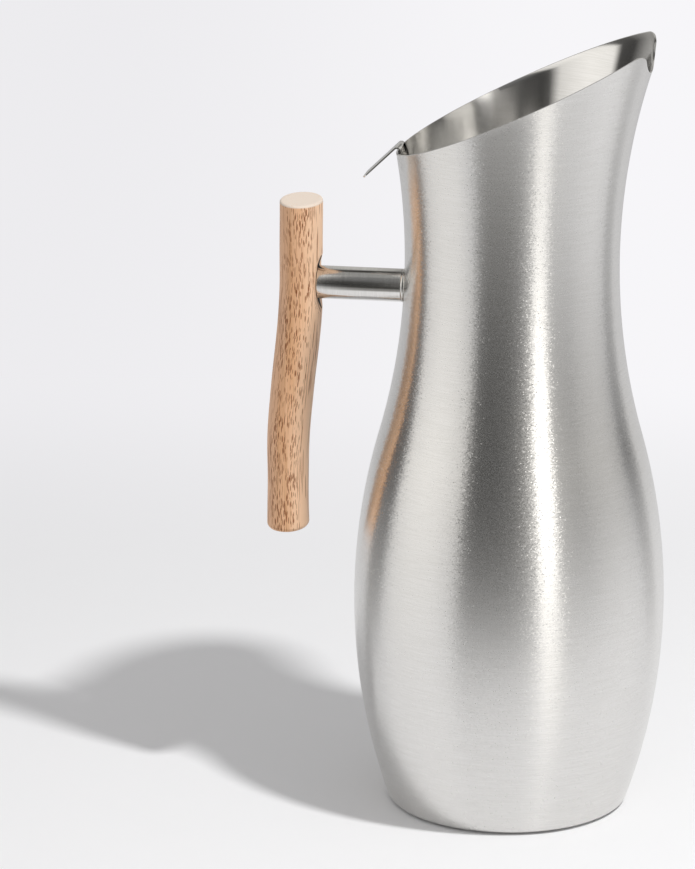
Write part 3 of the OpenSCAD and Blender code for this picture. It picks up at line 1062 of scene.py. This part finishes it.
@dataclass
class Lid:
    """The lid pan in the neck, hung from a strip that rocks on the rim."""

    vessel: Vessel
    slope: float = math.radians(25)
    drop: float = 25.3 * MM
    sheet: float = 0.8 * MM
    edge: float = 4 * MM
    gap: float = 0.6 * MM
    pour_gap: float = 14 * MM
    strain_d: float = 4 * MM
    strain_pitch: float = 7.5 * MM
    strain_count: int = 7
    strip_w: float = 12 * MM
    strip_t: float = 0.6 * MM
    tab_len: float = 16.9 * MM
    tab_angle: float = math.radians(44)
    tab_corner: float = 2 * MM
    leg_angle: float = math.radians(70)
    fold_r: float = 1.5 * MM
    foot_len: float = 12 * MM
    rim_gap: float = 0.3 * MM
    weld_gap: float = 0.05 * MM
    rivet_r: float = 1.5 * MM
    rivet_head_r: float = 2.5 * MM
    rivet_head_h: float = 1 * MM
    rivet_pitch: float = 6.5 * MM
    outline: int = 192
    bend_steps: int = 14
    fold_steps: int = 12
    hole_sides: int = 40
    plate_soften: float = 0.35 * MM
    cut_near: float = 0.1 * MM
    soften: float = 0.07 * MM

    def __post_init__(self) -> None:
        """Works out the strip's bends and the lid's place."""
        vessel = self.vessel
        rim_r = (vessel.plane_r(0, vessel.mouth_z, -vessel.slope)
                 + vessel.plane_r(vessel.wall, vessel.mouth_z, -vessel.slope)) / 2
        bow = rim_r - math.sqrt(rim_r ** 2 - (self.strip_w / 2) ** 2)
        rock_r = rim_r - bow / 2
        self.rock = Vector((-rock_r, vessel.mouth_z - vessel.slope * rock_r))
        self.ride_r = (vessel.wall + bow) / 2 / math.cos(self.slope) + self.rim_gap
        self.lid_z = vessel.mouth_z - self.drop
        self.inset = vessel.wall + self.gap
        self.end = vessel.plane_r(self.inset, self.lid_z, vessel.slope) / math.cos(self.slope) - self.pour_gap
        self.up_slope = Vector((math.cos(self.slope), math.sin(self.slope)))
        self.off_slope = Vector((-math.sin(self.slope), math.cos(self.slope)))
        leg_normal = Vector((math.sin(self.leg_angle), math.cos(self.leg_angle)))
        a = self.rock.dot(leg_normal) + self.ride_r + self.strip_t + self.fold_r
        b = self.lid_z * self.off_slope.y + self.weld_gap + self.strip_t + self.fold_r
        det = leg_normal.x * self.off_slope.y - leg_normal.y * self.off_slope.x
        self.fold_c = Vector((a * self.off_slope.y - b * leg_normal.y,
                              b * leg_normal.x - a * self.off_slope.x)) / det
        self.foot_start = (self.fold_c - Vector((0, self.lid_z))).dot(self.up_slope)
        self.rivet_x = self.foot_start + self.foot_len / 2

    def on_lid(self, along: float, across: float, off: float) -> Vector:
        """A place in the lid's own frame, as a place in the room."""
        flat = Vector((0, self.lid_z)) + self.up_slope * along + self.off_slope * off
        return Vector((flat.x, across, flat.y))

    def _strip_path(self) -> list[Point]:
        """The strip's middle line, from the thumb tab's tip to the foot's end."""
        reach = self.ride_r + self.strip_t / 2
        fold = self.fold_r + self.strip_t / 2
        up, down = 0.5 * math.pi, 1.5 * math.pi
        bend = arc(self.rock, reach, up + self.tab_angle, up - self.leg_angle, self.bend_steps)
        tip = (bend[0][0] - self.tab_len * math.cos(self.tab_angle),
               bend[0][1] - self.tab_len * math.sin(self.tab_angle))
        folded = arc(self.fold_c, fold, down - self.leg_angle, down + self.slope, self.fold_steps)
        end = Vector(folded[-1]) + self.up_slope * self.foot_len
        return [tip, *bend, *folded, tuple(end)]

    def _strip(self) -> None:
        """The bent strip: an edge drawn along the path, its tip rounded, then given its thickness."""
        path = self._strip_path()
        strip = chain("lid_strip", path)
        half = self.strip_w / 2
        tip = Vector((path[0][0], 0, path[0][1]))

        def at_tip(point: bmesh.types.BMVert) -> bool:
            """Whether a point is one of the tip's corners."""
            return (point.co - tip).length < half + MM and abs(point.co.z - tip.z) < NEAR

        with editing(strip):
            bpy.ops.transform.translate(value=(0, -half, 0))
            bpy.ops.mesh.extrude_edges_move(TRANSFORM_OT_translate={"value": (0, self.strip_w, 0)})
            choose(strip, Pick.POINTS, at_tip)
            bpy.ops.mesh.bevel(offset=self.tab_corner, segments=6, affect="VERTICES")
        tidy_normals(strip)
        modify(strip, "SOLIDIFY", thickness=self.strip_t, offset=0)
        bevel(strip, self.soften, 2)
        smooth(strip)
        finish = SatinSteel("satin_strip", roughness=0.1, spread=0.05, depth=0.001 * MM,
                            line=(9 * MM, 0.3 * MM, 9 * MM))
        settle(strip, finish, Body.LID, "satin_sheet", "lid_tab")

    def _outline_point(self, point: Vector, deep: float) -> Vector:
        """A place on the neck's oval, at a depth below the lid's top."""
        turned = math.atan2(point.y, point.x)
        height = self.lid_z - deep / math.cos(self.slope)
        rate = self.vessel.slope * math.cos(turned)
        radius = self.vessel.plane_r(self.inset, height, rate)
        return Vector((radius * math.cos(turned), radius * math.sin(turned), height + rate * radius))

    def _plate(self) -> None:
        """The pan: an oval cut off by the pouring gap, with a turned-down edge and strainer holes."""
        plate = primitive("lid_pan", bpy.ops.mesh.primitive_circle_add, vertices=self.outline,
                          radius=self.vessel.waist_r, fill_type="NGON")
        reshape(plate, lambda p: self._outline_point(p, 0))
        cut = self.on_lid(self.end, 0, 0)
        along = Vector((self.up_slope.x, 0, self.up_slope.y))
        down = Vector((self.off_slope.x, 0, self.off_slope.y)) * -self.edge
        with editing(plate, Pick.FACES):
            bpy.ops.mesh.bisect(plane_co=cut, plane_no=along, clear_outer=True)
            bpy.ops.mesh.select_all(action="SELECT")
            bpy.ops.mesh.extrude_region_move(TRANSFORM_OT_translate={"value": down})
            bpy.ops.mesh.delete(type="ONLY_FACE")

        def lean(point: Vector) -> Vector:
            """Draws the lower edge in along the neck."""
            off = (point - self.on_lid(0, 0, 0)).dot(down.normalized())
            if off < self.edge / 2:
                return point
            if (point - cut).dot(along) > -self.cut_near:
                half = math.sqrt(self.vessel.plane_r(self.inset, point.z, 0) ** 2 - point.x ** 2)
                return Vector((point.x, max(-half, min(half, point.y)), point.z))
            return self._outline_point(point, self.edge)

        reshape(plate, lean)
        tidy_normals(plate)
        modify(plate, "SOLIDIFY", thickness=self.sheet, offset=-1, use_even_offset=True)
        bevel(plate, self.plate_soften, 3)
        self._drill(plate)
        smooth(plate)
        finish = SatinSteel("satin_pan", roughness=0.28, line=(12 * MM, 0.35 * MM, 12 * MM))
        settle(plate, finish, Body.LID, "satin_sheet", "lid_plate")

    def _drill(self, plate: Piece) -> None:
        """Drills the strainer holes and the rivet holes."""
        holes = [(self.end - 2 * self.strain_d - row * self.strain_pitch,
                  (i - (self.strain_count - 1 - row) / 2) * self.strain_pitch, self.strain_d / 2)
                 for row in range(2) for i in range(self.strain_count - row)]
        holes += [(self.rivet_x, side * self.rivet_pitch / 2, self.rivet_r) for side in (-1, 1)]
        for along, across, radius in holes:
            place = self.on_lid(along, across, -self.sheet / 2)
            cut_out(plate, rod(radius, 3 * self.sheet, place, (0, -self.slope, 0), self.hole_sides))

    def _rivets(self) -> None:
        """Two rivets with domed heads, turned once and copied."""
        top = self.weld_gap + self.strip_t
        dome = (self.rivet_head_r ** 2 + self.rivet_head_h ** 2) / (2 * self.rivet_head_h)
        lean = math.asin(self.rivet_head_r / dome)
        low = -self.sheet - self.rivet_head_h / 2
        line = [(0, low), (self.rivet_head_r - self.soften, low), (self.rivet_head_r, low + self.soften),
                (self.rivet_head_r, -self.sheet), (self.rivet_r, -self.sheet), (self.rivet_r, top),
                *arc((0, top + self.rivet_head_h - dome), dome, math.pi / 2 - lean, math.pi / 2, 8)]
        rivet = turn("lid_rivet_pair", line, self.hole_sides)
        make_active(rivet)
        bpy.ops.object.duplicate(linked=False)
        copy = bpy.context.object
        for piece, side in ((rivet, -1), (copy, 1)):
            reshape(piece, lambda p: self.on_lid(self.rivet_x + p.x, side * self.rivet_pitch / 2 + p.y, p.z))
        make_active(rivet)
        copy.select_set(True)
        bpy.ops.object.join()
        smooth(rivet)
        finish = SatinSteel("rivet_steel", roughness=0.2, line=(1 * MM, 1 * MM, 0.3 * MM))
        settle(rivet, finish, Body.LID, "plain_steel", "lid_rivets")

    def build(self) -> None:
        """Builds the strip, the pan and the rivets."""
        self._strip()
        self._plate()
        self._rivets()


# The hidden pieces


@dataclass
class HiddenPieces:
    """The pieces that keep their shape from the frame: base plate, pad, stud and insert."""

    finishes: dict[str, Finish] = field(default_factory=lambda: {
        "base_plate": SatinSteel("satin_base", roughness=0.3, line=(14 * MM, 0.4 * MM, 14 * MM)),
        "base_pad": Rubber("pad_rubber"),
        "handle_stud": SatinSteel("stud_steel", (0.55, 0.55, 0.56), 0.3, line=(0.5 * MM, 6 * MM, 6 * MM)),
        "grip_insert": SatinSteel("insert_brass", (0.72, 0.52, 0.22), 0.3, line=(0.4 * MM, 4 * MM, 4 * MM)),
    })

    def dress(self) -> None:
        """Gives each node its finish."""
        for node, finish in self.finishes.items():
            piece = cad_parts[node]
            piece.data.materials.clear()
            piece.data.materials.append(finish.material())
            LOG.info("%s: %s", node, finish.name)


# The studio


@dataclass
class Studio:
    """A pale table, a room that the steel mirrors, one key light and the camera.

    Its bands of light and dark are listed by their angle to the right of the camera, in degrees.
    """

    image: tuple[int, int] = (695, 869)
    lens_px: float = 4779.0
    sensor: float = 36.0
    turned: float = math.radians(9.573)
    raised: float = math.radians(16.538)
    distance: float = 1835.4 * MM
    middle_z: float = 150 * MM
    shift_right: float = -62.6 * MM
    shift_up: float = -3.1 * MM
    # Colour and strengths of the painted light, and the painted shade, that mirrored rays see on the table.
    painted_glow: Colour = (1.0, 0.985, 0.96)
    pool: float = 1.15
    table_size: float = 12.0
    table_colour: Colour = (0.94, 0.94, 0.948)
    paper_cell: float = 25 * MM
    paper_fleck: float = 1.01
    table_shade: Colour = (0.31, 0.305, 0.295)
    shade_fade: Point = (0.3, 1.0)
    shade_reach: Point = (0.22, 0.36)
    pool_reach: Point = (0.08, 0.2)
    painted_white_reach: Point = (0.2, 0.4)
    backdrop: Point = (-0.6, -0.2)
    sweep: Point = (0.45, 1.1)
    backdrop_white: tuple[Colour, Colour] = ((0.845, 0.838, 0.86), (0.93, 0.922, 0.945))
    backdrop_aside: Point = (-0.25, 0.12)
    sky_aside: Point = (-0.07, 0.07)
    warm: Colour = (1.0, 0.98, 0.945)
    dark: Colour = (0.06, 0.058, 0.054)
    overhead: Colour = (0.34, 0.34, 0.33)
    overhead_front: Point = (-0.22, -0.06)
    upper_front: Colour = (0.2, 0.2, 0.2)
    low_to_high: Point = (0.09, 0.26)
    high_to_upper: Point = (0.25, 0.8)
    upper_to_overhead: Point = (0.8, 0.92)
    fill: Colour = (0.48, 0.478, 0.48)
    key_turned: float = math.radians(32.7)
    key_raised: float = math.radians(59)
    key_distance: float = 1.35
    key_size: float = 0.11
    key_power: float = 12.2

    def __post_init__(self) -> None:
        """Works out the camera's own directions."""
        flat = Vector((math.sin(self.turned), -math.cos(self.turned), 0))
        self.front = flat
        self.right = Vector((math.cos(self.turned), math.sin(self.turned), 0))
        self.back = flat * math.cos(self.raised) + Vector((0, 0, math.sin(self.raised)))
        self.up = self.back.cross(self.right)

    def _camera(self) -> None:
        """Sets the camera at the photograph's angle."""
        target = Vector((0, 0, self.middle_z)) + self.right * self.shift_right + self.up * self.shift_up
        data = bpy.data.cameras.new("camera")
        data.sensor_width = self.sensor
        data.lens = self.lens_px * self.sensor / max(self.image)
        camera = bpy.data.objects.new("camera", data)
        axes = Matrix((self.right, self.up, self.back)).transposed()
        place = target + self.back * self.distance
        camera.matrix_world = Matrix.LocRotScale(place, axes.to_quaternion(), None)
        bpy.context.scene.collection.objects.link(camera)
        bpy.context.scene.camera = camera

    def _key(self) -> None:
        """Hangs the key light to the right of the camera."""
        data = bpy.data.lights.new("key", "AREA")
        data.shape = "DISK"
        data.size = self.key_size
        data.energy = self.key_power
        away = Vector((math.cos(self.key_turned) * math.cos(self.key_raised),
                       -math.sin(self.key_turned) * math.cos(self.key_raised), math.sin(self.key_raised)))
        lamp = bpy.data.objects.new("key", data)
        place = Vector((0, 0, self.middle_z)) + away * self.key_distance
        lamp.matrix_world = Matrix.LocRotScale(place, away.to_track_quat("Z", "Y"), None)
        lamp.visible_glossy = False
        bpy.context.scene.collection.objects.link(lamp)

    def _room_stops(self, high: bool) -> list[tuple[float, Colour]]:
        """The room's brightness at each angle.

        Args:
            high: whether it is the upper part of the walls, and not the part at the horizon.

        Returns:
            Places and colours of a ramp.
        """
        plan = [(-180, 0.55, 0.6), (-158, 0.45, 0.45), (-140, 0.3, 0.3), (-122, 0.04, 0.08),
                (-106, 0.05, 0.1), (-99, 1.05, 1.05), (-75, 1.1, 1.1), (-60, 1.0, 1.0), (-46, 0.85, 0.85),
                (-36, 0.07, 0.09), (-30, 0.04, 0.05), (-14, 0.05, 0.06), (0, 0.13, 0.15), (9, 0.28, 0.32),
                (16, 0.55, 0.6), (24, 2.4, 2.4), (31, 2.4, 2.4), (38, 0.5, 0.6), (46, 0.18, 0.6),
                (57, 0.06, 0.6), (72, 0.3, 0.7), (90, 0.45, 0.75), (104, 0.4, 0.6), (112, 0.04, 0.04),
                (124, 0.04, 0.04), (136, 0.8, 0.75), (150, 0.8, 0.75), (164, 0.55, 0.15), (180, 0.55, 0.6)]
        return [((angle + 180) / 360, tuple((above if high else level) * tint for tint in self.warm))
                for angle, level, above in plan]

    @staticmethod
    def _table_stops() -> list[tuple[float, Colour]]:
        """Shares of the painted shade, the painted pool of light and the painted white glow that mirrored
        rays see on the table, at each angle.
        """
        plan = [(-180, 0, 0, 0), (-130, 0, 0, 0), (-122, 0.7, 0, 0), (-108, 0.7, 0, 0), (-101, 0, 0, 0.3),
                (-80, 0, 0, 0.6), (-60, 0, 0, 0.5), (-49, 0.13, 0, 0.1), (-43, 0.32, 0, 0), (-35, 0.85, 0, 0),
                (-26, 1, 0, 0), (-6, 1, 0, 0), (6, 0.87, 0, 0), (16, 0.68, 0.15, 0), (23, 0.5, 0.8, 0),
                (31, 0.5, 0.8, 0), (40, 0.45, 0.1, 0), (60, 0.3, 0, 0), (90, 0.05, 0, 0), (108, 0, 0, 0),
                (114, 0.3, 0, 0), (124, 0.3, 0, 0), (132, 0, 0, 0), (180, 0, 0, 0)]
        return [((angle + 180) / 360, shares) for angle, *shares in plan]

    def _banded(self, graph: Graph, way: Wire, stops: list[tuple[float, Colour]]) -> Wire:
        """Colour of a ramp at the angle of a place or a direction."""
        turned = graph.dot(way, self.right).turned_to(graph.dot(way, self.front)) / math.tau + 0.5
        return graph.node("ShaderNodeValToRGB", {"stops": stops}, {0: turned})

    def _room(self) -> None:
        """Lights the room: bright on the left, dark towards the camera, with a fill for soft light."""
        world = bpy.data.worlds.new("room")
        world.use_nodes = True
        world.cycles.sampling_method = "NONE"
        bpy.context.scene.world = world
        graph = Graph(world.node_tree)
        way = graph.node("ShaderNodeTexCoord", out="Generated")
        height = graph.parts(way)[2]
        low, high = (self._banded(graph, way, self._room_stops(above)) for above in (False, True))
        light = graph.mix(height.ramp(*self.low_to_high), low, high)
        light = graph.mix(height.ramp(*self.high_to_upper), light, self.upper_front, "LIGHTEN")
        above = graph.mix(graph.dot(way, self.front).ramp(*self.overhead_front), self.dark, self.overhead)
        light = graph.mix(height.ramp(*self.upper_to_overhead), light, above)
        light = graph.mix(graph.ray(Ray.SOFT), light, self.fill)
        white = graph.mix(graph.dot(way, self.right).ramp(*self.sky_aside), *self.backdrop_white)
        light = graph.mix(graph.ray(Ray.SEEN), light, white)
        room = graph.node("ShaderNodeBackground", links={"Color": light, "Strength": 1.0})
        graph.node("ShaderNodeOutputWorld", links={"Surface": room})

    def _table(self) -> None:
        """Lays the pale table: the camera sees it turn white far off; mirrored rays alone see it painted with
        shade, a pool of light and a white glow, which the steel mirrors.
        """
        table = primitive("table", bpy.ops.mesh.primitive_plane_add, size=self.table_size)
        made = bpy.data.materials.new("table_paper")
        made.use_nodes = True
        graph = Graph(made.node_tree)
        place = graph.place()
        away = graph.vector(Maths.LENGTH, place, out="Value")
        fibre = graph.noise(place, self.paper_cell, 3.0)
        paler = tuple(min(1.0, self.paper_fleck * value) for value in self.table_colour)
        paper = graph.mix(fibre, self.table_colour, paler)
        surface = graph.node("ShaderNodeBsdfDiffuse", links={"Color": paper})
        # Painted light for mirrored rays only: a painted shade in front, a painted pool of light and a
        # painted white glow on the left.
        mirrored = graph.ray(Ray.MIRRORED)
        shade = graph.mix(away.ramp(*self.shade_fade), self.table_shade, self.dark)
        shares = graph.parts(self._banded(graph, place, self._table_stops()))
        bands = ((shade, 1.0, self.shade_reach), (self.painted_glow, self.pool, self.pool_reach),
                 (self.painted_glow, 1.0, self.painted_white_reach))
        for share, (colour, strength, reach) in zip(shares, bands):
            glow = graph.glow(colour, strength)
            surface = graph.layer(mirrored * share * away.ramp(*reach), surface, glow)
        back = graph.dot(place, self.front).ramp(*self.backdrop, 1.0, 0.0)
        far = away.ramp(*self.sweep)
        white = graph.mix(graph.dot(place, self.right).ramp(*self.backdrop_aside), *self.backdrop_white)
        swept = graph.layer(graph.ray(Ray.SEEN) * (back + far - back * far), surface, graph.glow(white))
        graph.node("ShaderNodeOutputMaterial", links={"Surface": swept})
        table.data.materials.append(made)

    def build(self) -> None:
        """Sets up the camera, the light, the room and the table."""
        bpy.context.scene.view_settings.view_transform = "Standard"
        self._camera()
        self._key()
        self._room()
        self._table()


def main() -> None:
    """Builds the pitcher's pieces and the studio."""
    logging.basicConfig(level=logging.INFO, format="%(name)s: %(message)s")
    Studio().build()
    vessel = Vessel()
    vessel.build()
    Handle(vessel).build()
    Lid(vessel).build()
    HiddenPieces().dress()
    deselect()


if __name__ == "__main__":
    main()
